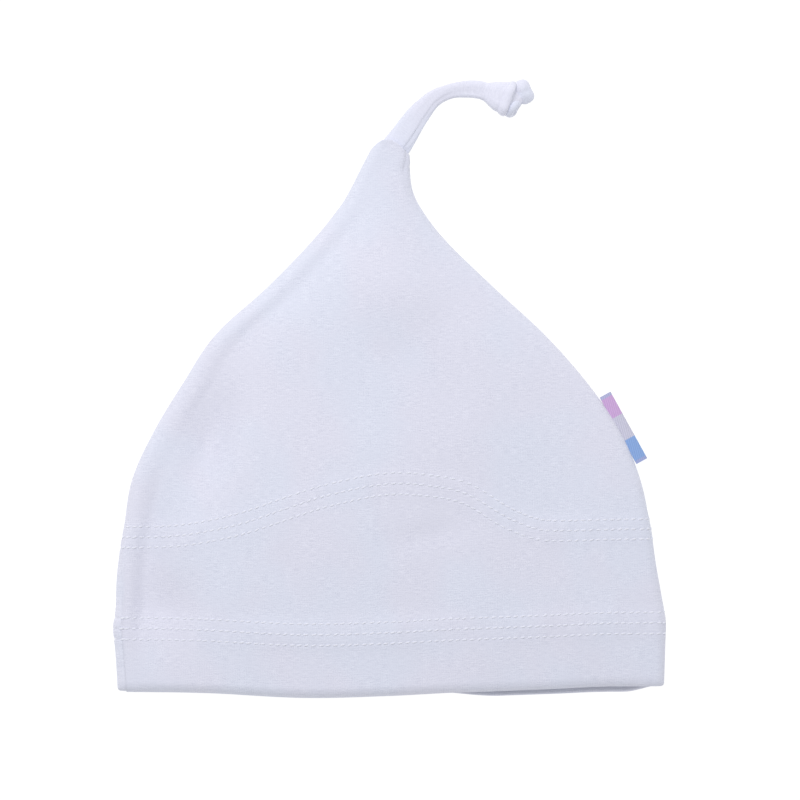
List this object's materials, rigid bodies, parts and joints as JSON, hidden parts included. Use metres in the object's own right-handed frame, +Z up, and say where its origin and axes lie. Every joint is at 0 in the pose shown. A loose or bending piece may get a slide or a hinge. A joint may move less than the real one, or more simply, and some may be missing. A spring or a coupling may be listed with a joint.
{
  "type": "newborn hat with knotted tail",
  "caption": "Soft cotton newborn hat lying flat, with an open mouth, turned hem, arched brow seam, tapered crown and a tail tied in a knot.",
  "frame": {"origin": "middle of the hat's footprint, on the surface that it lies on", "axes": "+X to the label side of the hat, +Y from the mouth to the tip, +Z up, out of the hat's front"},
  "size_m": [0.1663, 0.1849, 0.0145],
  "materials": {
    "crown_cotton": "soft white cotton interlock, matt, fine knit",
    "brow_cotton": "soft white cotton interlock, matt, fine knit",
    "hem_cotton": "white cotton interlock, turned double, matt",
    "label_ribbon": "woven ribbon in pink, pale lilac and blue blocks, slight sheen"
  },
  "bodies": {
    "root": {"hem_front": "hem_cotton", "hem_back": "hem_cotton", "brow_front": "brow_cotton", "brow_back": "brow_cotton", "crown_front": "crown_cotton", "crown_back": "crown_cotton", "tail": "crown_cotton", "knot_loop": "crown_cotton", "side_label": "label_ribbon"}
  },
  "joints": []
}
